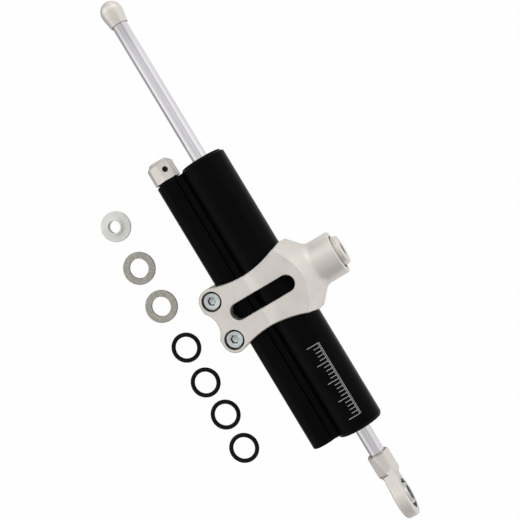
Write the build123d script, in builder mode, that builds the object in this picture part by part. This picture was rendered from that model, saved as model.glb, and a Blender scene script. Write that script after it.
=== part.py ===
from build123d import *
import math
import os

# Motorcycle steering damper with a through rod, a sliding frame clamp and its loose fitting kit.
# Frame: millimetres, origin at the centre of the clamp's pivot ball, +X along the rod towards the
# eye, +Y out of the pivot boss, +Z up. The damper lies on its side on the flat back of the clamp.

os.makedirs("parts", exist_ok=True)

# Fits and clearances
seat_gap = 0.02
running_gap = 0.03
clamp_gap = 0.05
knob_gap = 0.25
overrun = 30.0

# Rod
rod_radius = 4.0
pivot_offset = 24.5
rod_y = -pivot_offset
cap_margin = 3.6
eye_margin = 1.0
stud_radius = 3.0

# Body extrusion
main_radius = 12.35
lobe_radius = 7.0
lobe_offset = 19.7
lobe_y = rod_y - lobe_offset
web_half = 4.6
web_fillet = 1.2
left_reach = 73.25
body_length = 152.5
body_left = -left_reach
body_right = body_left + body_length
main_bore = 10.0
lobe_bore = 4.5
body_edge = 0.4

# Piston, and the travel that is left towards the cap in the position shown
stroke_in = 15.0
bump_gap = 0.3
piston_length = 12.0
piston_radius = 9.7
piston_clip_radius = 6.2

# Glands
left_lip = 1.15
right_lip = 1.0
left_lip_radius = 11.0
right_lip_radius = 11.9
left_gland_length = 25.0
right_gland_length = 24.9

# Chamber between the glands, the travel towards the eye, and the rod that both travels need outside
chamber_left = body_left + left_gland_length
chamber_right = body_right - right_gland_length
piston_x = chamber_left + bump_gap + stroke_in + piston_length / 2
stroke_out = chamber_right - bump_gap - piston_x - piston_length / 2
left_exposed = stroke_out + cap_margin
right_exposed = stroke_in + eye_margin

# Clamp
clamp_half = 18.0
crease_depth = 9.3
crease_fillet = 1.6
ear_top = 12.4
ear_back = 12.6
back_flat_end = 14.0
back_slope_end = 24.0
boss_radius = 11.5
boss_reach = 35.2
boss_edge = 0.5
neck_reach = 22.6
neck_fillet = 5.0
cone_reach = 9.6
cone_radius = 25.8
shoulder_half = 19.2
shoulder_reach = 13.5
waist_draw = 5.3
waist_half = shoulder_half - waist_draw
ear_radius = 6.65
ear_draw = 1.6
screw_x = shoulder_half - ear_draw - ear_radius
screw_reach = 29.8
notch_wall = 3.4
notch_half = screw_x - notch_wall
notch_depth = 3.2
notch_fillet = 1.0
ear_join_fillet = 3.0
clamp_edge = 0.5
slit_width = 1.6
window_width = 8.7
window_top = 12.0
window_bottom = 24.7
window_edge = 0.35
screw_y = rod_y - screw_reach

# M5 socket head screws of the clamp
screw_radius = 2.5
screw_hole = 2.65
head_radius = 4.25
head_height = 5.0
head_recess = 5.2
head_sink = 0.6
screw_length = 16.0
hex_size = 4.0
hex_depth = 2.6
screw_edge = 0.45

# Pivot in the boss
pivot_bore = 9.0
pivot_ball_radius = 7.2
pivot_liner_wall = 0.5
pivot_race_half = 3.5
pivot_liner_half = 2.9
pivot_ball_foot = 5.0
pivot_neck = 6.0
pivot_flange_radius = 7.75
pivot_flange_start = 8.2
pivot_flange_edge = 0.7
pivot_stand = 3.0
pivot_thread = 3.4
pivot_well_radius = 6.6
pivot_well_depth = 7.5
clip_width = 1.0
clip_bite = 0.45

# Rod eye
socket_radius = 5.85
socket_length = 11.5
socket_edge = 0.7
socket_bore_depth = 8.0
eye_distance = 25.25
eye_radius = 11.25
eye_half = 3.3
eye_bore = 8.0
eye_edge = 1.4
eye_ball_radius = 6.5
eye_ball_half = 4.0
eye_ball_bore = 4.0
eye_liner_wall = 0.4
eye_race_half = 2.5
eye_liner_half = 2.2
eye_clip_width = 0.5
neck_run = 4.0
neck_start = 8.5
neck_half = 5.2
facet_depth = 0.9
facet_turns = (38.0, 218.0)

# Rod cap
cap_radius = 5.75
cap_base_radius = 4.75
cap_length = 13.25
cap_edge = 0.25
cap_stud_depth = 8.5

# Adjuster
knob_radius = 7.0
knob_length = 10.8
knob_wall = 2.8
knob_flat_distance = 6.6
knob_flat_count = 8
knob_chamfer = 2.3
knob_hole_angle = 26.0
knob_hole_share = 0.52
grub_radius = 1.5
grub_length = 2.6
grub_hex = 1.5
collar_radius = 5.6
collar_height = 0.75
port_margin = 0.5
cartridge_ring_depth = 5.0
spindle_ring_depth = 8.5
small_wire = 0.45
groove_share = 1.2
cavity_radius = 3.8
cavity_depth = 13.0
spindle_radius = 2.5
spindle_flange = 3.6
spindle_flange_length = 2.0
spindle_tail = 1.5
spindle_tail_length = 6.0
needle_hex = 5.0
needle_length = 8.0
needle_travel = 1.35
needle_lead = 1.5
needle_tip = 3.0
needle_stem = 1.6
needle_point = 0.3
seat_length = 4.0
seat_hole = 1.0
detent_radius = 0.5
detent_reach = 3.5
detent_stand = 0.2
detent_pocket = 4.0
coil_wire = 0.12
coil_turns = 4
dimple_count = 12
dimple_radius = 0.45
dimple_depth = 0.25

# Compensator and plug in the other end of the lobe
compensator_length = 6.0
compensator_travel = 4.0
plug_length = 6.0
plug_recess = 1.5
plug_clip_inner = 3.2
port_radius = 1.5
port_inset = 3.5

# Loose kit beside the damper
kit_bush_radius = 8.15
kit_bush_flange = 1.6
kit_bush_barrel = 4.2
kit_bush_height = 4.4
kit_bush_bore = 3.35
kit_washer_radius = 8.75
kit_washer_bore = 5.2
kit_washer_thickness = 1.8
kit_ring_bore = 5.75
kit_ring_wire = 1.15
kit_edge = 0.25
kit_pitch = 20.0
kit_row = 60.0
kit_bush_shares = (-3.52, 1.008)
kit_washer_shares = [(-2.265, 1.02), (-1.107, 1.026)]
kit_ring_shares = [(0.158, 1.025), (1.204, 1.039), (2.198, 1.034), (3.2, 1.046)]
floor_z = -clamp_half


def save(piece, label):
    """Label a finished piece and write it to its own file."""
    piece.part.label = label
    export_step(piece.part, "parts/" + label + ".step")
    print(label, round(piece.part.volume, 1))


def along_x(x, y):
    """Plane square to the rod at x, with its local x along +Y and its local y along +Z."""
    return Plane(origin=(x, y, 0), x_dir=(0, 1, 0), z_dir=(1, 0, 0))


def along_y(x, y):
    """Plane square to the pivot and eye bores, with its local x along +X."""
    return Plane(origin=(x, y, 0), x_dir=(1, 0, 0), z_dir=(0, 1, 0))


def turned_x(label, axis_y, points):
    """Ring or shaft turned about an axis along X, from (x, radius) points."""
    with BuildPart() as piece:
        with BuildSketch(Plane(origin=(0, axis_y, 0))):
            with BuildLine():
                Polyline(*points, close=True)
            make_face()
        revolve(axis=Axis((0, axis_y, 0), (1, 0, 0)))
    save(piece, label)


def grooved(start, end, outer, groove_x, wire):
    """Outline of a turned outside with one groove for an O-ring, from start to end."""
    floor = outer - 2 * wire
    return [(start, outer), (groove_x - groove_share * wire, outer), (groove_x - groove_share * wire, floor),
            (groove_x + groove_share * wire, floor), (groove_x + groove_share * wire, outer), (end, outer)]


def tube_x(label, axis_y, start, end, outer, inner):
    """Plain ring about an axis along X."""
    turned_x(label, axis_y, [(start, inner), (end, inner), (end, outer), (start, outer)])


def ring_x(label, x, axis_y, outer, wire):
    """O-ring round an axis along X, lying inside the outer radius."""
    with BuildPart() as piece:
        with BuildSketch(Plane(origin=(x, axis_y, 0))):
            with Locations((0, outer - wire)):
                Circle(wire)
        revolve(axis=Axis((0, axis_y, 0), (1, 0, 0)))
    save(piece, label)


def lobed_face(growth):
    """Section of the body: the main circle, the small lobe and the web between them."""
    Circle(main_radius + growth)
    with Locations((-lobe_offset, 0)):
        Circle(lobe_radius + growth)
    with Locations((-lobe_offset / 2, 0)):
        Rectangle(lobe_offset, 2 * (web_half + growth))
    inner = [v for v in vertices() if abs(abs(v.Y) - web_half - growth) < seat_gap]
    fillet(inner, web_fillet)


# Body: a drawn twin-bore extrusion, faced at both ends, with two ports between the bores
with BuildPart() as body:
    with BuildSketch(along_x(body_left, rod_y)):
        lobed_face(0)
    extrude(amount=body_length)
    chamfer(body.faces().filter_by(Axis.X).edges(), body_edge)
    with BuildSketch(along_x(body_left, rod_y)):
        Circle(main_bore)
    extrude(amount=body_length, mode=Mode.SUBTRACT)
    with BuildSketch(along_x(body_left, lobe_y)):
        Circle(lobe_bore)
    extrude(amount=body_length, mode=Mode.SUBTRACT)
    plug_face = body_right - plug_recess
    with BuildSketch(along_x(plug_face - clip_width, lobe_y)):
        Circle(lobe_bore + clip_bite)
    extrude(amount=clip_width, mode=Mode.SUBTRACT)
    for port_x in (chamber_left + port_inset, chamber_right - port_inset):
        with BuildSketch(along_y(port_x, lobe_y)):
            Circle(port_radius)
        extrude(amount=lobe_offset, mode=Mode.SUBTRACT)
save(body, "body_housing")


# Glands: each end of the main bore has a turned guide holding a wiper, a lip seal and a bronze bush
wiper_depth = 1.85
rib_depth = 3.0
seal_depth = 7.0
seal_pocket = 7.0
wiper_pocket = 6.5
rib_radius = 4.5
bush_start = 7.2
bush_end = 21.0
ring_wire = 0.9
gland_ring_at = 12.0
ring_groove = 2.4
wiper_lip = 5.0


def gland(side, end_x, inward, lip, lip_radius, length):
    """Gland, wiper, seal, bush and ring at one end; depths run inward from the body's end face."""
    def at(depth):
        return end_x + inward * depth
    gland_radius = main_bore - seat_gap
    groove_radius = main_bore - 2 * ring_wire - 2 * seat_gap
    groove_start = gland_ring_at - ring_groove / 2
    groove_end = gland_ring_at + ring_groove / 2
    turned_x(side + "_gland", rod_y, [
        (at(-lip), wiper_pocket), (at(-lip), lip_radius - body_edge), (at(-lip + body_edge), lip_radius),
        (at(0), lip_radius), (at(0), gland_radius), (at(groove_start), gland_radius),
        (at(groove_start), groove_radius), (at(groove_end), groove_radius),
        (at(groove_end), gland_radius), (at(length), gland_radius), (at(length), seal_pocket),
        (at(rib_depth), seal_pocket), (at(rib_depth), rib_radius), (at(wiper_depth), rib_radius),
        (at(wiper_depth), wiper_pocket)])
    wiper_outer = wiper_pocket - seat_gap
    wiper_inner = rod_radius + running_gap
    wiper_face = -lip + body_edge
    turned_x(side + "_wiper", rod_y, [
        (at(wiper_depth), wiper_outer), (at(wiper_face), wiper_outer), (at(wiper_face), wiper_lip),
        (at(-lip), wiper_inner + body_edge), (at(-lip), wiper_inner), (at(wiper_depth), wiper_inner)])
    seal_outer = seal_pocket - seat_gap
    seal_middle = (seal_outer + rod_radius) / 2
    turned_x(side + "_rod_seal", rod_y, [
        (at(rib_depth), wiper_inner), (at(rib_depth), seal_outer), (at(seal_depth), seal_outer),
        (at(seal_depth), seal_middle + body_edge), (at(seal_depth - wiper_depth), seal_middle),
        (at(seal_depth), seal_middle - body_edge), (at(seal_depth), wiper_inner)])
    tube_x(side + "_rod_bush", rod_y, at(bush_start), at(bush_end), seal_outer, wiper_inner)
    ring_x(side + "_gland_ring", at(gland_ring_at), rod_y, main_bore - seat_gap, ring_wire)


gland("left", body_left, 1, left_lip, left_lip_radius, left_gland_length)
gland("right", body_right, -1, right_lip, right_lip_radius, right_gland_length)


# Rod: one ground bar through both glands, stepped at each end for its cap and its eye
cap_base_x = body_left - left_lip - left_exposed
socket_x = body_right + right_lip + right_exposed
rod_right = socket_x + socket_bore_depth
clip_groove_radius = rod_radius - clip_bite
clip_left = piston_x - piston_length / 2 - clip_width
clip_right = piston_x + piston_length / 2
turned_x("rod", rod_y, [
    (cap_base_x - cap_stud_depth, 0), (cap_base_x - cap_stud_depth, stud_radius),
    (cap_base_x, stud_radius), (cap_base_x, rod_radius),
    (clip_left, rod_radius), (clip_left, clip_groove_radius),
    (clip_left + clip_width, clip_groove_radius), (clip_left + clip_width, rod_radius),
    (clip_right, rod_radius), (clip_right, clip_groove_radius),
    (clip_right + clip_width, clip_groove_radius), (clip_right + clip_width, rod_radius),
    (rod_right, rod_radius), (rod_right, 0)])

# Piston: a turned disc held between two clips, with a split ring that seals on the bore
ring_width = 4.0
piston_ring_depth = 1.5
ring_floor = piston_radius - piston_ring_depth
ring_half = ring_width / 2
turned_x("piston", rod_y, [
    (piston_x - piston_length / 2, rod_radius + seat_gap),
    (piston_x - piston_length / 2, piston_radius),
    (piston_x - ring_half - clamp_gap, piston_radius), (piston_x - ring_half - clamp_gap, ring_floor),
    (piston_x + ring_half + clamp_gap, ring_floor), (piston_x + ring_half + clamp_gap, piston_radius),
    (piston_x + piston_length / 2, piston_radius),
    (piston_x + piston_length / 2, rod_radius + seat_gap)])
tube_x("piston_ring", rod_y, piston_x - ring_half, piston_x + ring_half,
       main_bore - running_gap, ring_floor + clamp_gap)

with BuildPart() as clips:
    for clip_x in (clip_left, clip_right):
        with BuildSketch(along_x(clip_x, rod_y)):
            Circle(piston_clip_radius)
            Circle(clip_groove_radius + seat_gap, mode=Mode.SUBTRACT)
            with Locations((0, piston_clip_radius / 2)):
                Rectangle(rod_radius, piston_clip_radius, mode=Mode.SUBTRACT)
        extrude(amount=clip_width)
save(clips, "piston_clips")

# Rod cap: a bullet-shaped stop screwed on the free end of the rod
cap_tip_x = cap_base_x - cap_length
cap_ball_x = cap_tip_x + cap_radius
with BuildPart() as rod_cap:
    with BuildSketch(Plane(origin=(0, rod_y, 0))):
        with BuildLine():
            Line((cap_tip_x, 0), (cap_base_x - cap_stud_depth, 0))
            Line((cap_base_x - cap_stud_depth, 0), (cap_base_x - cap_stud_depth, stud_radius + seat_gap))
            Line((cap_base_x - cap_stud_depth, stud_radius + seat_gap), (cap_base_x, stud_radius + seat_gap))
            Line((cap_base_x, stud_radius + seat_gap), (cap_base_x, cap_base_radius - cap_edge))
            Line((cap_base_x, cap_base_radius - cap_edge), (cap_base_x - cap_edge, cap_base_radius))
            Spline((cap_base_x - cap_edge, cap_base_radius), (cap_ball_x, cap_radius),
                   tangents=((-cap_length, cap_radius - cap_base_radius), (-cap_length, 0)))
            CenterArc((cap_ball_x, 0), cap_radius, 90, 90)
        make_face()
    revolve(axis=Axis((0, rod_y, 0), (1, 0, 0)))
save(rod_cap, "rod_cap")

# Rod eye: a forged eye with a round shank, its bearing pressed in and held by two clips
eye_x = socket_x + eye_distance
shank_end = socket_x + socket_length
neck_end = shank_end + neck_run
flare_x = socket_x + neck_start
flare_span = math.hypot(eye_x - flare_x, neck_half)
flare_angle = math.asin(eye_radius / flare_span) - math.atan2(neck_half, eye_x - flare_x)
flare_tangent = (eye_x - eye_radius * math.sin(flare_angle), eye_radius * math.cos(flare_angle))
with BuildPart() as rod_end:
    with BuildSketch(along_y(0, rod_y)):
        with Locations((eye_x, 0)):
            Circle(eye_radius)
        with BuildLine():
            Polyline((flare_x, neck_half), flare_tangent, (eye_x, 0),
                     (flare_tangent[0], -flare_tangent[1]), (flare_x, -neck_half), close=True)
        make_face()
    extrude(amount=eye_half, both=True)
    forged = rod_end.edges().filter_by(
        lambda e: abs(abs(e.center().Y - rod_y) - eye_half) < seat_gap and e.center().X > flare_x + seat_gap)
    fillet(forged, eye_edge)
    with BuildSketch(Plane(origin=(0, rod_y, 0))):
        with BuildLine():
            Polyline((socket_x, 0), (socket_x, socket_radius - socket_edge),
                     (socket_x + socket_edge, socket_radius), (shank_end, socket_radius),
                     (neck_end, eye_half), (eye_x - eye_bore, eye_half), (eye_x - eye_bore, 0),
                     close=True)
        make_face()
    revolve(axis=Axis((0, rod_y, 0), (1, 0, 0)))
    for turn in facet_turns:
        aside = -math.sin(math.radians(turn))
        above = math.cos(math.radians(turn))
        facet = Plane(origin=(socket_x, rod_y + socket_radius * aside, socket_radius * above),
                      x_dir=(socket_length, -facet_depth * aside, -facet_depth * above),
                      z_dir=(facet_depth, socket_length * aside, socket_length * above))
        with BuildSketch(facet):
            Rectangle(socket_length, 2 * socket_radius, align=(Align.MIN, Align.CENTER))
        extrude(amount=socket_radius, mode=Mode.SUBTRACT)
    with BuildSketch(along_y(eye_x, rod_y)):
        Circle(eye_bore)
    extrude(amount=overrun, both=True, mode=Mode.SUBTRACT)
    for side in (1, -1):
        with BuildSketch(along_y(eye_x, rod_y + side * eye_race_half)):
            Circle(eye_bore + clip_bite)
        extrude(amount=side * (eye_clip_width + 2 * seat_gap), mode=Mode.SUBTRACT)
    with BuildSketch(along_x(socket_x, rod_y)):
        Circle(rod_radius + seat_gap)
    extrude(amount=socket_bore_depth + seat_gap, mode=Mode.SUBTRACT)
save(rod_end, "rod_end")


def bearing(prefix, x, y, ball_radius, liner_wall, race_half, liner_half, outer):
    """Outer race and thin liner of a spherical bearing whose bore lies along Y."""
    liner_inner = ball_radius + running_gap
    liner_outer = liner_inner + liner_wall
    race_inner = liner_outer + running_gap
    with BuildPart() as race:
        with BuildSketch(along_y(x, y)):
            Circle(outer - seat_gap)
        extrude(amount=race_half, both=True)
        with Locations((x, y, 0)):
            Sphere(race_inner, mode=Mode.SUBTRACT)
    save(race, prefix + "_race")
    with BuildPart() as liner:
        with Locations((x, y, 0)):
            Sphere(liner_outer)
            Sphere(liner_inner, mode=Mode.SUBTRACT)
        with BuildSketch(along_y(x, y)):
            Circle(liner_outer + overrun)
        extrude(amount=liner_half, both=True, mode=Mode.INTERSECT)
    save(liner, prefix + "_liner")


# Eye bearing: race, liner and a drilled ball
bearing("eye", eye_x, rod_y, eye_ball_radius, eye_liner_wall, eye_race_half, eye_liner_half, eye_bore)
with BuildPart() as eye_ball:
    with Locations((eye_x, rod_y, 0)):
        Sphere(eye_ball_radius)
    with BuildSketch(along_y(eye_x, rod_y)):
        Circle(eye_ball_radius + overrun)
        Circle(eye_ball_bore, mode=Mode.SUBTRACT)
    extrude(amount=eye_ball_half, both=True, mode=Mode.INTERSECT)
save(eye_ball, "eye_ball")


def clip_face(outer, inner):
    """Spring clip for a bore along Y, open over a short gap on its +Z side."""
    Circle(outer)
    Circle(inner, mode=Mode.SUBTRACT)
    with Locations((0, -outer)):
        Rectangle(outer, outer, mode=Mode.SUBTRACT)


eye_clip_outer = eye_bore + clip_bite - seat_gap
eye_clip_inner = eye_ball_radius + 4 * clamp_gap
with BuildPart() as eye_clips:
    for side in (1, -1):
        with BuildSketch(along_y(eye_x, rod_y + side * (eye_race_half + seat_gap))):
            clip_face(eye_clip_outer, eye_clip_inner)
        extrude(amount=side * eye_clip_width)
save(eye_clips, "eye_clips")


# Clamp: machined from billet, one piece, slit between its ears and closed by two screws
boss_face = rod_y + boss_reach
crease_z = math.sqrt(clamp_half ** 2 - crease_depth ** 2)
ear_end = rod_y - screw_reach - ear_radius
ear_join_angle = 30.0
ear_join = (screw_x + ear_radius * math.cos(math.radians(ear_join_angle)),
            screw_y + ear_radius * math.sin(math.radians(ear_join_angle)))
arc_angle = math.degrees(math.asin(crease_depth / clamp_half))
head_seat_z = ear_top - head_sink - head_height
notch_radius = (notch_half ** 2 + notch_depth ** 2) / (2 * notch_depth)
notch_angle = math.degrees(math.acos(notch_half / notch_radius))
with BuildPart() as clamp:
    with BuildSketch(along_x(-shoulder_half, 0)):
        with BuildLine():
            Polyline((rod_y - crease_depth, crease_z), (ear_end, ear_top), (ear_end, -ear_back),
                     (rod_y - back_slope_end, -ear_back), (rod_y - back_flat_end, -clamp_half),
                     (boss_face, -clamp_half), (boss_face, clamp_half), (rod_y, clamp_half))
            CenterArc((rod_y, 0), clamp_half, 90, arc_angle)
        make_face()
        crease = vertices().sort_by_distance((rod_y - crease_depth, crease_z))[0]
        fillet(crease, crease_fillet)
    extrude(amount=2 * shoulder_half)
    with BuildSketch():
        with BuildLine():
            Polyline((0, boss_face), (shoulder_half, boss_face), (shoulder_half, rod_y + shoulder_reach))
            ThreePointArc((shoulder_half, rod_y + shoulder_reach), (waist_half, rod_y - crease_depth),
                          ear_join)
            CenterArc((screw_x, screw_y), ear_radius, ear_join_angle, -90 - ear_join_angle)
            Line((screw_x, ear_end), (notch_half, ear_end))
            CenterArc((0, ear_end + notch_depth - notch_radius), notch_radius,
                      notch_angle, 90 - notch_angle)
            mirror(about=Plane.YZ)
        make_face()
        notch_corners = [v for v in vertices() if abs(v.X) < notch_half + seat_gap and v.Y < screw_y]
        fillet(notch_corners, notch_fillet)
        fillet([v for v in vertices() if abs(v.Y - ear_join[1]) < seat_gap], ear_join_fillet)
    extrude(amount=clamp_half, both=True, mode=Mode.INTERSECT)
    with BuildSketch():
        with BuildLine():
            Polyline((0, ear_end), (cone_radius + overrun, ear_end),
                     (cone_radius + overrun, rod_y + cone_reach), (cone_radius, rod_y + cone_reach),
                     (boss_radius, rod_y + neck_reach), (boss_radius, boss_face - boss_edge),
                     (boss_radius - boss_edge, boss_face), (0, boss_face), close=True)
        make_face()
        neck = vertices().sort_by_distance((boss_radius, rod_y + neck_reach))[0]
        fillet(neck, neck_fillet)
    revolve(axis=Axis.Y, mode=Mode.INTERSECT)
    rims = [e for e in clamp.edges() if abs(e.center().Z) > ear_top - seat_gap
            and e.center().Y < rod_y + shoulder_reach
            and (e.bounding_box().size.Y > seat_gap or e.center().Y < ear_end + seat_gap)]
    chamfer(rims, clamp_edge)
    with BuildSketch(along_x(-shoulder_half, rod_y)):
        lobed_face(clamp_gap)
    extrude(amount=2 * shoulder_half, mode=Mode.SUBTRACT)
    with BuildSketch(along_x(-shoulder_half, rod_y)):
        with Locations((-lobe_offset - overrun / 2, 0)):
            Rectangle(overrun, slit_width)
    extrude(amount=2 * shoulder_half, mode=Mode.SUBTRACT)
    with BuildSketch(Plane.XY):
        with Locations((0, rod_y + (window_top - window_bottom) / 2)):
            SlotOverall(window_top + window_bottom, window_width, rotation=90)
    extrude(amount=clamp_half + overrun, mode=Mode.SUBTRACT)
    window_rim = [e for e in clamp.edges() if abs(e.center().X) < window_width / 2 + seat_gap
                  and e.center().Z > crease_z - crease_fillet and rod_y - window_bottom < e.center().Y
                  and e.center().Y < rod_y + window_top and abs((e % 0).Z) < math.sqrt(1 / 2)]
    chamfer(window_rim, window_edge)
    with Locations((-screw_x, screw_y), (screw_x, screw_y)):
        Cylinder(screw_hole, clamp_half, align=(Align.CENTER, Align.CENTER, Align.MIN), mode=Mode.SUBTRACT)
        Cylinder(screw_radius + seat_gap, clamp_half,
                 align=(Align.CENTER, Align.CENTER, Align.MAX), mode=Mode.SUBTRACT)
    with Locations((-screw_x, screw_y, head_seat_z), (screw_x, screw_y, head_seat_z)):
        Cylinder(head_recess, overrun, align=(Align.CENTER, Align.CENTER, Align.MIN), mode=Mode.SUBTRACT)
    with BuildSketch(along_y(0, -pivot_race_half)):
        Circle(pivot_bore)
    extrude(amount=overrun, mode=Mode.SUBTRACT)
    with BuildSketch(along_y(0, -pivot_well_depth)):
        Circle(pivot_well_radius)
    extrude(amount=overrun, mode=Mode.SUBTRACT)
    with BuildSketch(along_y(0, pivot_race_half)):
        Circle(pivot_bore + clip_bite)
    extrude(amount=clip_width + 2 * seat_gap, mode=Mode.SUBTRACT)
save(clamp, "clamp")

# Clamp screws: two socket head screws from the front, threaded into the rear half of each ear
with BuildPart() as clamp_screws:
    head_top_z = head_seat_z + head_height
    for screw_side in (-screw_x, screw_x):
        with BuildSketch(Plane(origin=(screw_side, screw_y, head_seat_z))):
            Circle(head_radius)
        extrude(amount=head_height)
        with BuildSketch(Plane(origin=(screw_side, screw_y, head_seat_z))):
            Circle(screw_radius)
        extrude(amount=-screw_length)
    head_rims = clamp_screws.edges().filter_by(GeomType.CIRCLE).filter_by(
        lambda e: e.center().Z > head_top_z - seat_gap)
    chamfer(head_rims, screw_edge)
    screw_tips = clamp_screws.edges().filter_by(GeomType.CIRCLE).group_by(Axis.Z)[0]
    chamfer(screw_tips, screw_edge)
    for screw_side in (-screw_x, screw_x):
        with BuildSketch(Plane(origin=(screw_side, screw_y, head_top_z))):
            RegularPolygon(hex_size / 2, 6, major_radius=False)
        extrude(amount=-hex_depth, mode=Mode.SUBTRACT)
save(clamp_screws, "clamp_screws")

# Pivot: a spherical bearing in the boss; its ball carries a threaded, flanged neck out of the mouth
pivot_top = boss_face + pivot_stand
bearing("pivot", 0, 0, pivot_ball_radius, pivot_liner_wall, pivot_race_half, pivot_liner_half, pivot_bore)
with BuildPart() as pivot_ball:
    Sphere(pivot_ball_radius)
    with BuildSketch(along_y(0, -pivot_ball_foot)):
        Circle(pivot_bore + overrun)
    extrude(amount=pivot_ball_foot + pivot_ball_radius, mode=Mode.INTERSECT)
    with BuildSketch():
        with BuildLine():
            Polyline((0, 0), (pivot_neck, 0), (pivot_neck, pivot_flange_start),
                     (pivot_flange_radius, pivot_flange_start),
                     (pivot_flange_radius, pivot_top - pivot_flange_edge),
                     (pivot_flange_radius - pivot_flange_edge, pivot_top), (0, pivot_top), close=True)
        make_face()
    revolve(axis=Axis.Y)
    with BuildSketch(along_y(0, -pivot_ball_foot)):
        Circle(pivot_thread)
    extrude(amount=pivot_ball_foot + pivot_top, mode=Mode.SUBTRACT)
    mouth = pivot_ball.edges().filter_by(GeomType.CIRCLE).filter_by(
        lambda e: e.radius < pivot_thread + seat_gap and e.center().Y > pivot_top - seat_gap)
    chamfer(mouth, screw_edge)
save(pivot_ball, "pivot_ball")

pivot_clip_inner = pivot_ball_radius + 2 * clamp_gap
with BuildPart() as pivot_clip:
    with BuildSketch(along_y(0, pivot_race_half + seat_gap)):
        clip_face(pivot_bore + clip_bite - seat_gap, pivot_clip_inner)
    extrude(amount=clip_width)
save(pivot_clip, "pivot_clip")


def ring_y(piece_x, piece_y, inner, wire):
    """O-ring of a given bore whose axis lies along Y, as a solid to add to a part."""
    with BuildPart() as piece:
        with BuildSketch(Plane(origin=(piece_x, piece_y, 0))):
            with Locations((inner + wire, 0)):
                Circle(wire)
        revolve(axis=Axis((piece_x, piece_y, 0), (0, 1, 0)))
    return piece


pivot_seal = ring_y(0, pivot_flange_start - ring_wire - seat_gap, pivot_neck + seat_gap, ring_wire)
save(pivot_seal, "pivot_dust_ring")


# Adjuster: a knob on a spindle that drives a needle towards a seat, in a cartridge in the lobe
collar_face_x = body_left - collar_height
knob_right = collar_face_x - knob_gap
knob_left = knob_right - knob_length
port_left_x = chamber_left + port_inset
port_right_x = chamber_right - port_inset
cartridge_end = port_left_x - port_radius - port_margin
cavity_start = cartridge_end - cavity_depth
cartridge_radius = lobe_bore - seat_gap
cartridge_ring_x = body_left + cartridge_ring_depth
spindle_ring_x = body_left + spindle_ring_depth
spindle_hole = spindle_radius + running_gap
spindle_groove = spindle_hole + 2 * small_wire
with BuildPart() as cartridge:
    with BuildSketch(Plane(origin=(0, lobe_y, 0))):
        with BuildLine():
            Polyline(
                (collar_face_x, spindle_hole), (collar_face_x, collar_radius - cap_edge),
                (collar_face_x + cap_edge, collar_radius), (body_left, collar_radius),
                *grooved(body_left, cartridge_end, cartridge_radius, cartridge_ring_x, small_wire),
                (cartridge_end, cavity_radius), (cavity_start, cavity_radius), (cavity_start, spindle_hole),
                (spindle_ring_x + groove_share * small_wire, spindle_hole),
                (spindle_ring_x + groove_share * small_wire, spindle_groove),
                (spindle_ring_x - groove_share * small_wire, spindle_groove),
                (spindle_ring_x - groove_share * small_wire, spindle_hole), close=True)
        make_face()
    revolve(axis=Axis((0, lobe_y, 0), (1, 0, 0)))
    with BuildSketch(along_x(collar_face_x, lobe_y)):
        with Locations((0, detent_reach)):
            Circle(detent_radius + running_gap)
    extrude(amount=detent_pocket, mode=Mode.SUBTRACT)
save(cartridge, "adjuster_cartridge")
ring_x("cartridge_ring", cartridge_ring_x, lobe_y, cartridge_radius, small_wire)
ring_x("spindle_ring", spindle_ring_x, lobe_y, spindle_groove, small_wire)

flange_start = cavity_start + running_gap
flange_end = flange_start + spindle_flange_length
tail_end = flange_end + spindle_tail_length
spindle_left = knob_left + knob_wall
turned_x("adjuster_spindle", lobe_y, [
    (spindle_left, 0), (spindle_left, spindle_radius), (flange_start, spindle_radius),
    (flange_start, spindle_flange), (flange_end, spindle_flange), (flange_end, spindle_tail),
    (tail_end, spindle_tail), (tail_end, 0)])

with BuildPart() as needle_guide:
    with BuildSketch(along_x(flange_end + clamp_gap, lobe_y)):
        Circle(cavity_radius - seat_gap)
        RegularPolygon(needle_hex / 2 + running_gap, 6, major_radius=False, mode=Mode.SUBTRACT)
    extrude(amount=cartridge_end - flange_end - clamp_gap)
save(needle_guide, "needle_guide")

seat_x = port_left_x + port_radius + port_margin
cone_base_x = seat_x - needle_travel - needle_lead
cone_tip_x = cone_base_x + needle_tip
needle_left = flange_end + bump_gap
needle_hex_end = needle_left + needle_length
with BuildPart() as needle:
    with BuildSketch(along_x(needle_left, lobe_y)):
        RegularPolygon(needle_hex / 2, 6, major_radius=False)
    extrude(amount=needle_length)
    with BuildSketch(Plane(origin=(0, lobe_y, 0))):
        with BuildLine():
            Polyline((needle_hex_end - screw_edge, 0), (needle_hex_end - screw_edge, needle_stem),
                     (cone_base_x, needle_stem), (cone_tip_x, needle_point), (cone_tip_x, 0), close=True)
        make_face()
    revolve(axis=Axis((0, lobe_y, 0), (1, 0, 0)))
    with BuildSketch(along_x(needle_left, lobe_y)):
        Circle(spindle_tail + running_gap)
    extrude(amount=spindle_tail_length + clamp_gap, mode=Mode.SUBTRACT)
save(needle, "adjuster_needle")
tube_x("needle_seat", lobe_y, seat_x, seat_x + seat_length, cartridge_radius, seat_hole)

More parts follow.
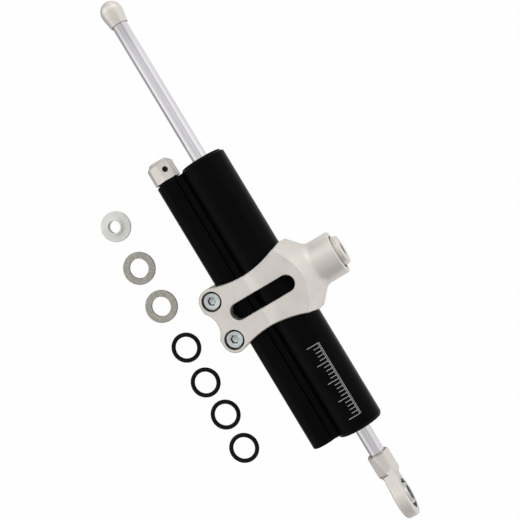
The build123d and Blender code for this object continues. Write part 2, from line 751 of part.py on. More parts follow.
# Knob: octagonal bar stock turned to a chamfered end, with a grub screw in one flat
knob_hole_x = knob_left + knob_hole_share * knob_length
hole_tilt = math.radians(knob_hole_angle)
knob_hole_plane = Plane(origin=(knob_hole_x, lobe_y, 0), x_dir=(1, 0, 0),
                        z_dir=(0, math.sin(hole_tilt), math.cos(hole_tilt)))
with BuildPart() as knob:
    with BuildSketch(Plane(origin=(0, lobe_y, 0))):
        with BuildLine():
            Polyline((knob_left, 0), (knob_left, knob_radius - knob_chamfer),
                     (knob_left + knob_chamfer, knob_radius), (knob_right - cap_edge, knob_radius),
                     (knob_right, knob_radius - cap_edge), (knob_right, 0), close=True)
        make_face()
    revolve(axis=Axis((0, lobe_y, 0), (1, 0, 0)))
    with BuildSketch(along_x(knob_left, lobe_y)):
        RegularPolygon(knob_flat_distance, knob_flat_count, major_radius=False,
                       rotation=90 - knob_hole_angle - 180 / knob_flat_count)
    extrude(amount=knob_length, mode=Mode.INTERSECT)
    with BuildSketch(along_x(spindle_left - seat_gap, lobe_y)):
        Circle(spindle_radius + seat_gap)
    extrude(amount=knob_length, mode=Mode.SUBTRACT)
    with BuildSketch(knob_hole_plane):
        Circle(grub_radius + seat_gap)
    extrude(amount=overrun, mode=Mode.SUBTRACT)
    with BuildSketch(along_x(knob_right - dimple_depth, lobe_y)):
        with PolarLocations(detent_reach, dimple_count):
            Circle(dimple_radius)
    extrude(amount=dimple_depth, mode=Mode.SUBTRACT)
save(knob, "adjuster_knob")

with BuildPart() as grub:
    with BuildSketch(knob_hole_plane.offset(spindle_radius + seat_gap)):
        Circle(grub_radius)
    extrude(amount=grub_length)
    with BuildSketch(knob_hole_plane.offset(spindle_radius + seat_gap + grub_length)):
        RegularPolygon(grub_hex / 2, 6, major_radius=False)
    extrude(amount=-grub_length / 2, mode=Mode.SUBTRACT)
save(grub, "knob_grub_screw")

# Click stop: a ball on a small coil spring in the face of the cartridge
ball_x = collar_face_x + detent_radius - detent_stand
with BuildPart() as detent_ball:
    with Locations((ball_x, lobe_y, detent_reach)):
        Sphere(detent_radius)
save(detent_ball, "detent_ball")
coil_radius = detent_radius - coil_wire
coil_start = ball_x + detent_radius + coil_wire
coil_length = collar_face_x + detent_pocket - coil_wire - coil_start
with BuildPart() as detent_spring:
    with BuildLine() as coil:
        Helix(coil_length / coil_turns, coil_length, coil_radius,
              center=(coil_start, lobe_y, detent_reach), direction=(1, 0, 0))
    with BuildSketch(Plane(origin=coil.line @ 0, z_dir=coil.line % 0)):
        Circle(coil_wire)
    sweep(path=coil.line)
save(detent_spring, "detent_spring")


# Compensator: a floating piston beyond the right port, and the plug and clip that close the lobe
float_start = port_right_x + port_radius + port_margin + compensator_travel
float_end = float_start + compensator_length
float_ring_x = (float_start + float_end) / 2
turned_x("compensator_piston", lobe_y, [
    (float_start, 0),
    *grooved(float_start, float_end, lobe_bore - running_gap, float_ring_x, small_wire), (float_end, 0)])
ring_x("compensator_ring", float_ring_x, lobe_y, lobe_bore - running_gap, small_wire)
plug_end = plug_face - clip_width - seat_gap
plug_start = plug_end - plug_length
plug_ring_x = plug_start + plug_length / 2
turned_x("lobe_plug", lobe_y, [
    (plug_start, 0), *grooved(plug_start, plug_end, cartridge_radius, plug_ring_x, small_wire),
    (plug_end, grub_radius), (plug_end - body_edge * 2, grub_radius), (plug_end - body_edge * 2, 0)])
ring_x("plug_ring", plug_ring_x, lobe_y, cartridge_radius, small_wire)
with BuildPart() as plug_clip:
    with BuildSketch(along_x(plug_face - clip_width + seat_gap, lobe_y)):
        Circle(lobe_bore + clip_bite - seat_gap)
        Circle(plug_clip_inner, mode=Mode.SUBTRACT)
        with Locations((0, lobe_bore)):
            Rectangle(plug_clip_inner, lobe_bore, mode=Mode.SUBTRACT)
    extrude(amount=clip_width - 2 * seat_gap)
save(plug_clip, "plug_clip")


# Loose kit: a flanged nylon bush, two steel washers and four O-rings laid out beside the damper
def kit_place(shares):
    """Centre of a kit piece on the floor, from its shares of the kit's pitch and row."""
    return (shares[0] * kit_pitch, rod_y - shares[1] * kit_row, floor_z)


upright = (Align.CENTER, Align.CENTER, Align.MIN)
with BuildPart() as kit_bush:
    with Locations(kit_place(kit_bush_shares)):
        Cylinder(kit_bush_radius, kit_bush_flange, align=upright)
        Cylinder(kit_bush_barrel, kit_bush_height, align=upright)
    bush_top = kit_bush.edges().filter_by(GeomType.CIRCLE).group_by(Axis.Z)[-1]
    flange_rim = kit_bush.edges().filter_by(GeomType.CIRCLE).filter_by(
        lambda e: e.radius > kit_bush_barrel + kit_edge).group_by(Axis.Z)[-1]
    fillet(bush_top + flange_rim, kit_edge * 2)
    with Locations(kit_place(kit_bush_shares)):
        Cylinder(kit_bush_bore, kit_bush_height, align=upright, mode=Mode.SUBTRACT)
save(kit_bush, "kit_bush")

for count, shares in enumerate(kit_washer_shares):
    with BuildPart() as kit_washer:
        with Locations(kit_place(shares)):
            Cylinder(kit_washer_radius, kit_washer_thickness, align=upright)
        fillet(kit_washer.edges().filter_by(GeomType.CIRCLE), kit_edge * 2)
        with Locations(kit_place(shares)):
            Cylinder(kit_washer_bore, kit_washer_thickness, align=upright, mode=Mode.SUBTRACT)
    save(kit_washer, "kit_washer_" + str(count + 1))

for count, shares in enumerate(kit_ring_shares):
    ring_x_place, ring_y_place, ring_floor_z = kit_place(shares)
    with BuildPart() as kit_ring:
        with Locations((ring_x_place, ring_y_place, ring_floor_z + kit_ring_wire)):
            Torus(kit_ring_bore + kit_ring_wire, kit_ring_wire)
    save(kit_ring, "kit_ring_" + str(count + 1))
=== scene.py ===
import math

import bmesh
import bpy
from mathutils import Matrix, Vector


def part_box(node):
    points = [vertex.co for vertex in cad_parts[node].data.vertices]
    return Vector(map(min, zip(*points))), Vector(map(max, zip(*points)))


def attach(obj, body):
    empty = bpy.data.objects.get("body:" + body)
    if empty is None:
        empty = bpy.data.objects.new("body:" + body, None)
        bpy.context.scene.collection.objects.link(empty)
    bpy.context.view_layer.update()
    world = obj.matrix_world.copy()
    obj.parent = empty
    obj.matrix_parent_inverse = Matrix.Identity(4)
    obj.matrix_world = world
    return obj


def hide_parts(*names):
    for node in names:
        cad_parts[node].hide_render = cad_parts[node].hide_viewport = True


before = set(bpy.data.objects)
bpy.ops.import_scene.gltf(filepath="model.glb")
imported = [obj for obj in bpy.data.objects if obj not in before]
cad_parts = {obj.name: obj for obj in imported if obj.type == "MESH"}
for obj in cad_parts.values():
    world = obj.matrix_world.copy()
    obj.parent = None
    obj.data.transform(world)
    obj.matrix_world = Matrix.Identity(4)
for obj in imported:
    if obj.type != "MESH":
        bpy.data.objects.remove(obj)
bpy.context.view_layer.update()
mm = 0.001

# Body: a drawn aluminium extrusion with a large and a small bore, faced at both ends and black
# anodised. The die leaves faint lines along it, and the sharp end edges show a little bare metal.
edge_turn_low = 0.04
edge_turn_high = 0.2
edge_patch_size = 0.9 * mm


def finish(name, **sockets):
    """New material whose shader has these even values on its own sockets."""
    material = bpy.data.materials.new(name)
    material.use_nodes = True
    shader = material.node_tree.nodes["Principled BSDF"]
    for socket, value in sockets.items():
        shader.inputs[socket.replace("_", " ")].default_value = value
    return material


def add(owner, kind, **settings):
    """New node in a material or the world, with its settings."""
    node = owner.node_tree.nodes.new(kind)
    for setting, value in settings.items():
        setattr(node, setting, value)
    return node


def join(owner, source, output, target, socket):
    """Link one node's output to another node's input."""
    owner.node_tree.links.new(source.outputs[output], target.inputs[socket])


def speckle(material, size, stretch=(1, 1, 1), detail=3.0):
    """Noise with grains of a given size in metres, drawn out along an axis where stretch is small."""
    place = add(material, "ShaderNodeTexCoord")
    scaled = add(material, "ShaderNodeMapping")
    scaled.inputs["Scale"].default_value = stretch
    noise = add(material, "ShaderNodeTexNoise")
    noise.inputs["Scale"].default_value = 1.0 / size
    noise.inputs["Detail"].default_value = detail
    join(material, place, "Object", scaled, "Vector")
    join(material, scaled, "Vector", noise, "Vector")
    return noise


def spread(material, source, low, high, start=0.35, end=0.65):
    """Turn a value that runs from start to end, as a noise mostly does, into one from low to high."""
    ranged = add(material, "ShaderNodeMapRange")
    ranged.inputs["From Min"].default_value = start
    ranged.inputs["From Max"].default_value = end
    ranged.inputs["To Min"].default_value = low
    ranged.inputs["To Max"].default_value = high
    join(material, source, 0, ranged, "Value")
    return ranged


def shade(material, share, dark, light):
    """Drive the base colour from dark to light by a share from 0 to 1."""
    mix = add(material, "ShaderNodeMix", data_type="RGBA")
    mix.inputs["A"].default_value = (*dark, 1.0)
    mix.inputs["B"].default_value = (*light, 1.0)
    join(material, share, 0, mix, "Factor")
    join(material, mix, "Result", material.node_tree.nodes["Principled BSDF"], "Base Color")


def tone(material, share, colour):
    """Blend a colour over the base colour by a share from 0 to 1."""
    shader = material.node_tree.nodes["Principled BSDF"]
    mix = add(material, "ShaderNodeMix", data_type="RGBA")
    mix.inputs["B"].default_value = (*colour, 1.0)
    material.node_tree.links.new(shader.inputs["Base Color"].links[0].from_socket, mix.inputs["A"])
    join(material, share, 0, mix, "Factor")
    join(material, mix, "Result", shader, "Base Color")


def relief(material, height, depth):
    """Bump the surface by a height texture, depth metres deep."""
    bump = add(material, "ShaderNodeBump")
    bump.inputs["Distance"].default_value = depth
    join(material, height, 0, bump, "Height")
    join(material, bump, "Normal", material.node_tree.nodes["Principled BSDF"], "Normal")


def grained(name, grain, dark, light, rough, depth=None, stretch=(1, 1, 1), detail=3.0,
            stain=None, stain_detail=3.0, **sockets):
    """New finish. Its grain sets the roughness and the relief, where it has a depth. A coarser stain,
    or else the grain itself, sets the colour."""
    material = finish(name, **sockets)
    fine = speckle(material, grain, stretch, detail)
    coarse = speckle(material, stain, detail=stain_detail) if stain else fine
    shade(material, spread(material, coarse, 0.0, 1.0), dark, light)
    rough_low, rough_high = rough
    shader = material.node_tree.nodes["Principled BSDF"]
    join(material, spread(material, fine, rough_low, rough_high), 0, shader, "Roughness")
    if depth:
        relief(material, fine, depth)
    return material


def edge_wear_and_shade(material, edge_colour, radius):
    """Blend a colour into the base colour, in patches, where the surface turns a sharp corner: bare metal as
    wear, or a dark colour as painted shade.
    """
    flat = add(material, "ShaderNodeNewGeometry")
    rounded = add(material, "ShaderNodeBevel", samples=4)
    rounded.inputs["Radius"].default_value = radius
    product = add(material, "ShaderNodeVectorMath", operation="DOT_PRODUCT")
    join(material, flat, "Normal", product, 0)
    join(material, rounded, "Normal", product, 1)
    corner = add(material, "ShaderNodeMapRange")
    corner.inputs["From Min"].default_value = 1.0 - edge_turn_low
    corner.inputs["From Max"].default_value = 1.0 - edge_turn_high
    join(material, product, "Value", corner, "Value")
    edge_patches = spread(material, speckle(material, edge_patch_size), 0.0, 1.0, start=0.45, end=0.62)
    edge_share = add(material, "ShaderNodeMath", operation="MULTIPLY")
    join(material, corner, 0, edge_share, 0)
    join(material, edge_patches, 0, edge_share, 1)
    tone(material, edge_share, edge_colour)


def dress(material, *names):
    """Give CAD nodes a material in all their slots."""
    for name in names:
        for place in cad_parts[name].material_slots:
            place.material = material


black_anodised = grained("black_anodised", grain=0.5 * mm, stretch=(0.02, 1.0, 1.0), stain=14.0 * mm,
                         dark=(0.0004, 0.0004, 0.0005), light=(0.0011, 0.0011, 0.0012), rough=(0.20, 0.32),
                         depth=0.004 * mm, Metallic=0.0, Specular_IOR_Level=0.055, IOR=1.5)
edge_wear_and_shade(black_anodised, edge_colour=(0.07, 0.07, 0.075), radius=0.2 * mm)
dress(black_anodised, "body_housing")

# Marking: a plain scale laser-engraved through the black on the upper flank of the body, which
# bares the aluminium. It is a ruled row of ticks with longer ones at even steps and two fine rules.
rod_axis_y = -24.5 * mm
body_radius = 12.35 * mm
mark_lift = 0.012 * mm
mark_arc_steps = 10
tick_start = 33.0 * mm
tick_step = 2.0 * mm
tick_count = 21
tick_width = 0.32 * mm
long_tick_every = 5
short_tick_start = 0.45
rule_low = math.radians(-6.0)
rule_high = math.radians(22.0)
rule_width = math.radians(1.3)
rule_step = 2.4 * rule_width


def body_patch(build, start, end, low, high):
    """Thin patch that lies on the large bore's round side, between two angles from straight up."""
    reach = body_radius + mark_lift
    rows = []
    for step in range(mark_arc_steps + 1):
        angle = low + (high - low) * step / mark_arc_steps
        y = rod_axis_y + reach * math.sin(angle)
        z = reach * math.cos(angle)
        rows.append((build.verts.new((start, y, z)), build.verts.new((end, y, z))))
    for first, second in zip(rows, rows[1:]):
        build.faces.new((first[0], first[1], second[1], second[0]))


def mesh_piece(name, build, material, body):
    """Make a smooth object of a bmesh, in its material, on the CAD body that carries it."""
    mesh = bpy.data.meshes.new(name)
    build.normal_update()
    build.to_mesh(mesh)
    build.free()
    for face in mesh.polygons:
        face.use_smooth = True
    piece = bpy.data.objects.new(name, mesh)
    bpy.context.scene.collection.objects.link(piece)
    mesh.materials.append(material)
    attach(piece, body)
    return piece


engraved = grained("engraved_aluminium", grain=0.12 * mm, dark=(0.34, 0.34, 0.34), light=(0.56, 0.56, 0.56),
                   rough=(0.45, 0.7), depth=0.01 * mm, Metallic=0.3, Specular_IOR_Level=0.3)
marking = bmesh.new()
for index in range(tick_count):
    middle = tick_start + tick_step * index
    longer = index % long_tick_every == 0
    tick_low = rule_low if longer else rule_low + (rule_high - rule_low) * short_tick_start
    body_patch(marking, middle - tick_width / 2, middle + tick_width / 2, tick_low, rule_high)
tick_end = tick_start + tick_step * (tick_count - 1)
for angle in (rule_high, rule_high + rule_step):
    body_patch(marking, tick_start - tick_width / 2, tick_end + tick_width / 2, angle, angle + rule_width)
mesh_piece("body_scale", marking, engraved, "damper_body")

# Rod: ground steel bar with hard chrome, polished along its length. Fine grinding rings and a few
# long hairlines show in its bright and dark bands.
chrome_rod = grained("chrome_rod", grain=0.6 * mm, stretch=(0.015, 1.0, 1.0), detail=2.0,
                     dark=(0.725, 0.705, 0.74), light=(0.85, 0.83, 0.86), rough=(0.05, 0.12), Metallic=1.0)
grind_rings = speckle(chrome_rod, 0.35 * mm, stretch=(1.0, 0.15, 0.15), detail=2.0)
relief(chrome_rod, grind_rings, 0.0008 * mm)
dress(chrome_rod, "rod")

# Knob: turned and milled aluminium, bead-blasted to a fine even grain and clear anodised, which
# leaves a warm satin silver with slightly brighter edges. The other silver pieces start from it.
satin_silver = grained("satin_silver", grain=0.16 * mm, detail=2.0, stain=9.0 * mm,
                       dark=(0.775, 0.728, 0.685), light=(0.835, 0.785, 0.74), rough=(0.36, 0.46),
                       depth=0.008 * mm, Metallic=0.82, Specular_IOR_Level=0.4)
edge_wear_and_shade(satin_silver, edge_colour=(0.88, 0.85, 0.82), radius=0.12 * mm)
dress(satin_silver, "adjuster_knob")

# Cap and eye: the knob's finish, with their end faces, which face along the rod, darkened as painted
# shade. Both are screwed onto the rod.
end_shade_silver = satin_silver.copy()
end_shade_silver.name = "end_shade_silver"
surface = add(end_shade_silver, "ShaderNodeTexCoord")
looks = add(end_shade_silver, "ShaderNodeSeparateXYZ")
along_rod = add(end_shade_silver, "ShaderNodeMath", operation="ABSOLUTE")
join(end_shade_silver, surface, "Normal", looks, 0)
join(end_shade_silver, looks, "X", along_rod, 0)
# Painted shade: faces that turn along the rod are darkened.
tone(end_shade_silver, spread(end_shade_silver, along_rod, 0.0, 1.0, start=0.9, end=0.97), (0.30, 0.28, 0.265))
dress(end_shade_silver, "rod_cap", "rod_end")

# Glands and wipers: the ends of the rod guides are turned aluminium, black anodised like the body,
# each with a rubber wiper that hugs the rod. The seals and O-rings are of the same rubber.
turned_black = grained("turned_black", grain=0.4 * mm, stretch=(0.05, 1.0, 1.0),
                       dark=(0.001, 0.001, 0.001), light=(0.003, 0.003, 0.003), rough=(0.26, 0.4),
                       depth=0.004 * mm, Metallic=0.0, Specular_IOR_Level=0.08)
dress(turned_black, "left_gland", "right_gland", "adjuster_cartridge", "lobe_plug")

rubber = grained("rubber", grain=0.25 * mm, stain=2.5 * mm, dark=(0.0022, 0.0021, 0.0022),
                 light=(0.0055, 0.0052, 0.0052), rough=(0.5, 0.68), depth=0.006 * mm,
                 Metallic=0.0, Specular_IOR_Level=0.14)
dress(rubber, "left_wiper", "right_wiper", "left_rod_seal", "right_rod_seal", "left_gland_ring",
      "right_gland_ring", "pivot_dust_ring", "cartridge_ring", "spindle_ring", "compensator_ring",
      "plug_ring", "kit_ring_1", "kit_ring_2", "kit_ring_3", "kit_ring_4")

# Bearings and hidden working pieces: ground bearing steel, phosphated spring clips, turned piston
# alloy, bronze bushes and filled PTFE liners.
bearing_steel = grained("bearing_steel", grain=0.3 * mm, stretch=(1.0, 0.2, 1.0), dark=(0.56, 0.55, 0.54),
                        light=(0.70, 0.69, 0.68), rough=(0.22, 0.36), depth=0.003 * mm, Metallic=0.95)
dress(bearing_steel, "pivot_race", "eye_race", "eye_ball", "adjuster_spindle", "adjuster_needle",
      "needle_seat", "detent_ball")

spring_steel = grained("spring_steel", grain=0.7 * mm, dark=(0.018, 0.018, 0.02), light=(0.05, 0.05, 0.052),
                       rough=(0.38, 0.55), depth=0.004 * mm, Metallic=0.6, Specular_IOR_Level=0.4)
dress(spring_steel, "pivot_clip", "eye_clips", "piston_clips", "plug_clip", "detent_spring",
      "knob_grub_screw")

piston_alloy = grained("piston_alloy", grain=0.3 * mm, stretch=(0.05, 1.0, 1.0), dark=(0.55, 0.55, 0.56),
                       light=(0.7, 0.7, 0.71), rough=(0.25, 0.4), depth=0.005 * mm, Metallic=0.95)
dress(piston_alloy, "piston", "compensator_piston", "needle_guide")

bronze = grained("bronze", grain=0.25 * mm, dark=(0.42, 0.25, 0.11), light=(0.6, 0.4, 0.2),
                 rough=(0.3, 0.5), depth=0.006 * mm, Metallic=0.95)
dress(bronze, "left_rod_bush", "right_rod_bush")

filled_ptfe = grained("filled_ptfe", grain=0.3 * mm, dark=(0.14, 0.15, 0.11), light=(0.26, 0.27, 0.21),
                      rough=(0.45, 0.65), depth=0.006 * mm, Metallic=0.0, Specular_IOR_Level=0.35)
dress(filled_ptfe, "piston_ring", "eye_liner", "pivot_liner")

# Pivot collar: the ball of the frame pivot carries a turned, flanged and tapped neck, with the
# knob's finish. Its M8 thread runs down the bore, which is darkened as painted shade.
tapped_radius = 3.5 * mm
tapped_pitch = 1.25 * mm
tapped_depth = 0.5 * mm
half_turn = 0.5
edge_blur = 0.1 * mm


def object_parts(material):
    """The X, Y and Z of a place on the part, in metres, as separate outputs."""
    place = add(material, "ShaderNodeTexCoord")
    split = add(material, "ShaderNodeSeparateXYZ")
    join(material, place, "Object", split, 0)
    return split


def near_axis(material, across, centre, radius):
    """Share of 1 inside a radius from a line through a centre, and 0 outside it. The line runs along
    the axis that is 0 in across."""
    place = add(material, "ShaderNodeTexCoord")
    offset = add(material, "ShaderNodeVectorMath", operation="SUBTRACT")
    offset.inputs[1].default_value = centre
    flat = add(material, "ShaderNodeVectorMath", operation="MULTIPLY")
    flat.inputs[1].default_value = across
    reach = add(material, "ShaderNodeVectorMath", operation="LENGTH")
    join(material, place, "Object", offset, 0)
    join(material, offset, 0, flat, 0)
    join(material, flat, 0, reach, 0)
    inside = add(material, "ShaderNodeMapRange")
    inside.inputs["From Min"].default_value = radius + edge_blur
    inside.inputs["From Max"].default_value = radius - edge_blur
    join(material, reach, "Value", inside, "Value")
    return inside


collar_silver = satin_silver.copy()
collar_silver.name = "collar_silver"
collar_parts = object_parts(collar_silver)
in_bore = near_axis(collar_silver, (1, 0, 1), (0, 0, 0), tapped_radius)
turn_angle = add(collar_silver, "ShaderNodeMath", operation="ARCTAN2")
join(collar_silver, collar_parts, "Z", turn_angle, 0)
join(collar_silver, collar_parts, "X", turn_angle, 1)
turns = add(collar_silver, "ShaderNodeMath", operation="DIVIDE")
turns.inputs[1].default_value = math.tau
join(collar_silver, turn_angle, 0, turns, 0)
helix = add(collar_silver, "ShaderNodeMath", operation="MULTIPLY_ADD")
helix.inputs[1].default_value = 1.0 / tapped_pitch
join(collar_silver, collar_parts, "Y", helix, 0)
join(collar_silver, turns, 0, helix, 2)
ridge = add(collar_silver, "ShaderNodeMath", operation="PINGPONG")
ridge.inputs[1].default_value = half_turn
join(collar_silver, helix, 0, ridge, 0)
thread_cut = add(collar_silver, "ShaderNodeMath", operation="MULTIPLY")
join(collar_silver, ridge, 0, thread_cut, 0)
join(collar_silver, in_bore, 0, thread_cut, 1)
# Painted shade: the tapped bore is darkened.
tone(collar_silver, in_bore, (0.10, 0.095, 0.09))
relief(collar_silver, thread_cut, tapped_depth)
dress(collar_silver, "pivot_ball")

# Clamp screws: cold-headed M5 socket screws, bright zinc plated with a faint blue passivation. The
# head's side is knurled, the hexagon is punched with a conical floor, and the shank has its thread.
screws_low, screws_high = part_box("clamp_screws")
head_radius = 4.25 * mm
head_height = 5.0 * mm
head_rim = 0.2 * mm
knurl_depth = 0.16 * mm
knurl_run_out = 0.1 * mm
hex_half = 2.0 * mm
hex_mouth = 2.5 * mm
hex_lead = 0.25 * mm
hex_depth = 2.3 * mm
hex_cone = 1.1 * mm
hex_inner = 0.84
hex_step = 0.15 * mm
shank_radius = 2.5 * mm
thread_depth = 0.42 * mm
thread_pitch = 0.8 * mm
thread_rows = 8
thread_run_in = 0.5
tip_cut = 0.2 * mm
hex_rows = (0, 1)
knurl_rows = (5, 6, 7, 8)
screw_sides = 72
sharp_turn = math.radians(38.0)


def hexagon(angle):
    """Distance from the middle of the socket to its wall, in a direction."""
    return hex_half / math.cos((angle % (math.pi / 3)) - math.pi / 6)


def knurled(angle):
    """Radius of the head's side, which steps in and out from one side of the ring to the next."""
    side = round(angle * screw_sides / math.tau)
    return head_radius - knurl_depth * (side % 2)


def screw_rows(top, tip):
    """Rows of (height, radius by direction) from the floor of the socket round to the screw's tip."""
    seat = top - head_height
    rows = [(top - hex_depth - hex_step, lambda a: hex_inner * hexagon(a)), (top - hex_depth, hexagon),
            (top - hex_lead, hexagon), (top, lambda a: hex_mouth), (top, lambda a: head_radius - head_rim),
            (top - head_rim, lambda a: head_radius - knurl_depth), (top - head_rim - knurl_run_out, knurled),
            (seat + head_rim, knurled), (seat, lambda a: head_radius - head_rim),
            (seat, lambda a: shank_radius)]
    threads = int((seat - tip) / thread_pitch) - 1
    for row in range(threads * thread_rows + 1):
        turn = row / thread_rows

        def threaded(a, turn=turn):
            phase = (turn + a / math.tau) % 1.0
            return shank_radius - thread_depth * (1.0 - abs(2.0 * phase - 1.0))
        rows.append((seat - thread_pitch * (thread_run_in + turn), threaded))
    rows.append((tip, lambda a: shank_radius - thread_depth - tip_cut))
    return rows


def add_screw(build, x, y, top, tip):
    """Closed screw of rings, with the cone of the socket's floor and the flat of its tip. Its socket
    wall and corner take the second material and the side of its head the third."""
    rings = []
    angles = [math.tau * index / screw_sides for index in range(screw_sides)]
    for height, reach in screw_rows(top, tip):
        rings.append([build.verts.new((x + reach(a) * math.cos(a), y + reach(a) * math.sin(a), height))
                      for a in angles])
    for row, (upper, lower) in enumerate(zip(rings, rings[1:])):
        for index in range(screw_sides):
            after = (index + 1) % screw_sides
            face = build.faces.new((upper[index], upper[after], lower[after], lower[index]))
            face.material_index = 1 if row in hex_rows else 2 if row in knurl_rows else 0
    floor = build.verts.new((x, y, top - hex_depth - hex_cone))
    for index in range(screw_sides):
        build.faces.new((rings[0][(index + 1) % screw_sides], rings[0][index], floor))
    build.faces.new(rings[-1])


blue_zinc = grained("blue_zinc", grain=0.2 * mm, stain=1.4 * mm, dark=(0.60, 0.65, 0.65),
                    light=(0.72, 0.765, 0.76), rough=(0.26, 0.4), depth=0.003 * mm, Metallic=0.9)
dress(blue_zinc, "clamp_screws")
# Painted shade: the socket's walls and floor take a near-black zinc.
socket_shade_zinc = grained("socket_shade_zinc", grain=0.5 * mm, dark=(0.03, 0.036, 0.036), light=(0.11, 0.125, 0.125),
                      rough=(0.3, 0.5), Metallic=0.85)
# Painted shade: the knurled side of the head is near black, so the gap round the head reads dark.
knurl_shade = grained("knurl_shade", grain=0.4 * mm, dark=(0.006, 0.006, 0.006), light=(0.03, 0.03, 0.03),
                      rough=(0.4, 0.6), Metallic=0.5, Specular_IOR_Level=0.3)
screws = bmesh.new()
screw_places = (screws_low[0] + head_radius, screws_high[0] - head_radius)
screw_y = (screws_low[1] + screws_high[1]) / 2
for screw_x in screw_places:
    add_screw(screws, screw_x, screw_y, screws_high[2], screws_low[2])
bmesh.ops.recalc_face_normals(screws, faces=screws.faces)
socket_screws = mesh_piece("socket_screws", screws, blue_zinc, "clamp")
socket_screws.data.materials.append(socket_shade_zinc)
socket_screws.data.materials.append(knurl_shade)
socket_screws.data.set_sharp_from_angle(angle=sharp_turn)
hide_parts("clamp_screws")

# Clamp: milled from aluminium plate, with the knob's finish. The two pockets that its screw heads
# sink into are painted near black below their rim, as painted shade.
pocket_radius = 4.9 * mm
pocket_rim = 12.2 * mm
clamp_silver = satin_silver.copy()
clamp_silver.name = "clamp_silver"
below_rim = add(clamp_silver, "ShaderNodeMapRange")
below_rim.inputs["From Min"].default_value = pocket_rim + edge_blur
below_rim.inputs["From Max"].default_value = pocket_rim - edge_blur
join(clamp_silver, object_parts(clamp_silver), "Z", below_rim, "Value")
# Painted shade: each pocket's wall below the rim is painted near black.
for screw_x in screw_places:
    near_screw = near_axis(clamp_silver, (1, 1, 0), (screw_x, screw_y, 0), pocket_radius)
    pocket_shade = add(clamp_silver, "ShaderNodeMath", operation="MULTIPLY")
    join(clamp_silver, near_screw, 0, pocket_shade, 0)
    join(clamp_silver, below_rim, 0, pocket_shade, 1)
    tone(clamp_silver, pocket_shade, (0.02, 0.019, 0.018))
dress(clamp_silver, "clamp")

# Kit: a moulded natural nylon bush and two tumbled steel washers, loose on the table beside the
# damper. The four O-rings in the row with them are moulded rubber.
natural_nylon = grained("natural_nylon", grain=2.2 * mm, dark=(0.83, 0.825, 0.80), light=(0.90, 0.895, 0.87),
                        rough=(0.28, 0.42), depth=0.01 * mm, Metallic=0.0, Specular_IOR_Level=0.4)
dress(natural_nylon, "kit_bush")

tumbled_steel = grained("tumbled_steel", grain=0.22 * mm, detail=4.0, stain=1.5 * mm, stain_detail=5.0,
                        dark=(0.40, 0.38, 0.335), light=(0.54, 0.52, 0.465), rough=(0.5, 0.72),
                        depth=0.03 * mm, Metallic=0.55, Specular_IOR_Level=0.35)
# Painted shade: the washers' sharp edges take a dark colour in patches.
edge_wear_and_shade(tumbled_steel, edge_colour=(0.10, 0.095, 0.088), radius=0.4 * mm)
dress(tumbled_steel, "kit_washer_1", "kit_washer_2")

# Table: a plain white sheet under the damper, which keeps its soft shadow. It glows for the camera
# and through glass. In a reflection it glows less, and least under the lobe's side of the damper, where its
# colour is also darker: painted shade.
floor_z = -18.0 * mm
floor_gap = 0.02 * mm
floor_half = 40.0
sheet_glow = 0.985
floor_shade_start = -45.0 * mm
floor_shade_end = -5.0 * mm
sheet = bpy.data.meshes.new("table")
corners = [(-floor_half, -floor_half), (floor_half, -floor_half), (floor_half, floor_half),
           (-floor_half, floor_half)]
sheet.from_pydata([(x, y, floor_z - floor_gap) for x, y in corners], [], [(0, 1, 2, 3)])
table = bpy.data.objects.new("table", sheet)
bpy.context.scene.collection.objects.link(table)
white_sheet = finish("white_sheet", Roughness=0.9, Specular_IOR_Level=0.1)
sheet.materials.append(white_sheet)
floor_shade = add(white_sheet, "ShaderNodeMapRange")
floor_shade.inputs["From Min"].default_value = floor_shade_start
floor_shade.inputs["From Max"].default_value = floor_shade_end
join(white_sheet, object_parts(white_sheet), "Y", floor_shade, "Value")
# Painted shade: the sheet's colour darkens towards the lobe's side of the damper.
shade(white_sheet, floor_shade, dark=(0.42, 0.42, 0.42), light=(0.97, 0.97, 0.97))

path = add(white_sheet, "ShaderNodeLightPath")
# Painted shade: the sheet glows less in reflections towards the lobe's side.
reflected = spread(white_sheet, floor_shade, 0.12, 0.6, start=0.0, end=1.0)
mirrored = add(white_sheet, "ShaderNodeMath", operation="MULTIPLY")
join(white_sheet, path, "Is Glossy Ray", mirrored, 0)
join(white_sheet, reflected, 0, mirrored, 1)
seen = add(white_sheet, "ShaderNodeMath", operation="ADD")
join(white_sheet, path, "Is Camera Ray", seen, 0)
join(white_sheet, mirrored, 0, seen, 1)
glow_share = add(white_sheet, "ShaderNodeMath", operation="ADD", use_clamp=True)
join(white_sheet, seen, 0, glow_share, 0)
join(white_sheet, path, "Is Transmission Ray", glow_share, 1)
glow_mix = add(white_sheet, "ShaderNodeMath", operation="MULTIPLY")
glow_mix.inputs[1].default_value = sheet_glow
join(white_sheet, glow_share, 0, glow_mix, 0)
glow = add(white_sheet, "ShaderNodeEmission")
glow.inputs["Color"].default_value = (1.0, 1.0, 1.0, 1.0)
glow.inputs["Strength"].default_value = 1.0
blend = add(white_sheet, "ShaderNodeMixShader")
join(white_sheet, glow_mix, 0, blend, "Fac")
join(white_sheet, white_sheet.node_tree.nodes["Principled BSDF"], 0, blend, 1)
join(white_sheet, glow, 0, blend, 2)
join(white_sheet, blend, 0, white_sheet.node_tree.nodes["Material Output"], "Surface")

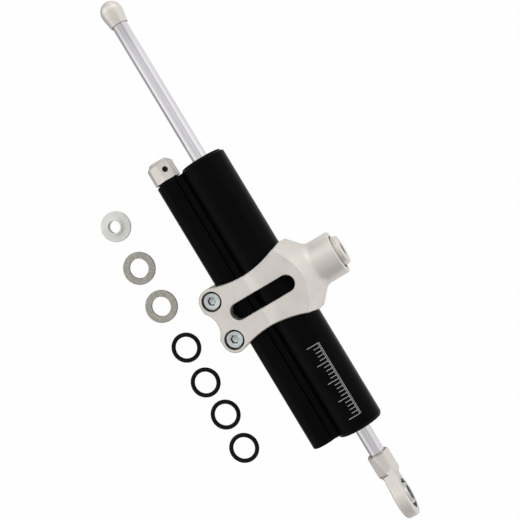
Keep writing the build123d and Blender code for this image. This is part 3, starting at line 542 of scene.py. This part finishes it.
# Light: a white tent all round, a little darker above the table where the camera stands, with a
# narrow dark gap at each side of the table and one beside the camera. Its far end is less bright.
# The strips go by degrees from straight up towards +Y, and the end levels from -X to +X.
tent_strips = [(-180, 1.0), (-92, 1.0), (-90, 0.25), (-86, 0.3), (-80, 1.1), (-66, 1.1), (-52, 1.0),
               (-38, 0.86), (-20, 0.76), (14, 0.76), (36, 0.8), (38, 0.4), (41, 0.45), (44, 0.85),
               (60, 1.05), (88, 1.08), (91, 1.04), (95, 1.0), (180, 1.0)]
end_levels = [(-1.0, 0.8), (-0.75, 1.4), (-0.45, 1.25), (-0.33, 1.1), (-0.31, 0.78), (-0.235, 0.76),
              (-0.225, 1.0), (0.0, 0.98), (0.12, 0.95), (0.17, 0.82), (0.4, 0.82), (0.8, 0.55), (1.0, 0.5)]


def set_levels(colours, levels):
    """Fill a colour ramp with grey levels, from the first place in the list to the last."""
    stops = colours.color_ramp.elements
    stops[0].position = 0.0
    stops[1].position = 1.0
    low = levels[0][0]
    high = levels[-1][0]
    for place, level in levels:
        position = (place - low) / (high - low)
        stop = stops[0] if position == 0 else stops[-1] if position == 1 else stops.new(position)
        stop.color = (level, level, level, 1.0)


tent = bpy.data.worlds.new("tent")
tent.use_nodes = True
bpy.context.scene.world = tent
direction = add(tent, "ShaderNodeTexCoord")
heading = add(tent, "ShaderNodeSeparateXYZ")
around = add(tent, "ShaderNodeMath", operation="ARCTAN2")
turned = add(tent, "ShaderNodeMapRange")
turned.inputs["From Min"].default_value = -math.pi
turned.inputs["From Max"].default_value = math.pi
strips = add(tent, "ShaderNodeValToRGB")
lengthwise = add(tent, "ShaderNodeMapRange")
lengthwise.inputs["From Min"].default_value = -1.0
ends = add(tent, "ShaderNodeValToRGB")
join(tent, direction, "Generated", heading, 0)
join(tent, heading, "Y", around, 0)
join(tent, heading, "Z", around, 1)
join(tent, around, 0, turned, "Value")
join(tent, turned, 0, strips, "Fac")
join(tent, heading, "X", lengthwise, "Value")
join(tent, lengthwise, 0, ends, "Fac")
set_levels(strips, tent_strips)
set_levels(ends, end_levels)
join(tent, strips, "Color", tent.node_tree.nodes["Background"], "Color")
join(tent, ends, "Color", tent.node_tree.nodes["Background"], "Strength")

# Camera: looks down on the damper from a little behind the boss, turned so that the rod runs from
# the top left of the picture to the bottom right.
camera_target = Vector((-16.3 * mm, -25.0 * mm, 0.0))
camera_distance = 540.0 * mm
camera_lean = math.radians(10.5)
camera_turn = math.radians(58.9)
picture_width = 260.0 * mm
toward_camera = Vector((0.0, math.sin(camera_lean), math.cos(camera_lean)))
across = Vector((0.0, math.cos(camera_lean), -math.sin(camera_lean)))
along = Vector((1.0, 0.0, 0.0))
right = along * math.cos(camera_turn) + across * math.sin(camera_turn)
up = across * math.cos(camera_turn) - along * math.sin(camera_turn)
camera_data = bpy.data.cameras.new("camera")
camera_data.lens = camera_data.sensor_width * camera_distance / picture_width
camera = bpy.data.objects.new("camera", camera_data)
camera_place = Matrix.Translation(camera_target + toward_camera * camera_distance)
camera.matrix_world = camera_place @ Matrix((right, up, toward_camera)).transposed().to_4x4()
bpy.context.scene.collection.objects.link(camera)
bpy.context.scene.camera = camera
bpy.context.scene.view_settings.view_transform = "Standard"
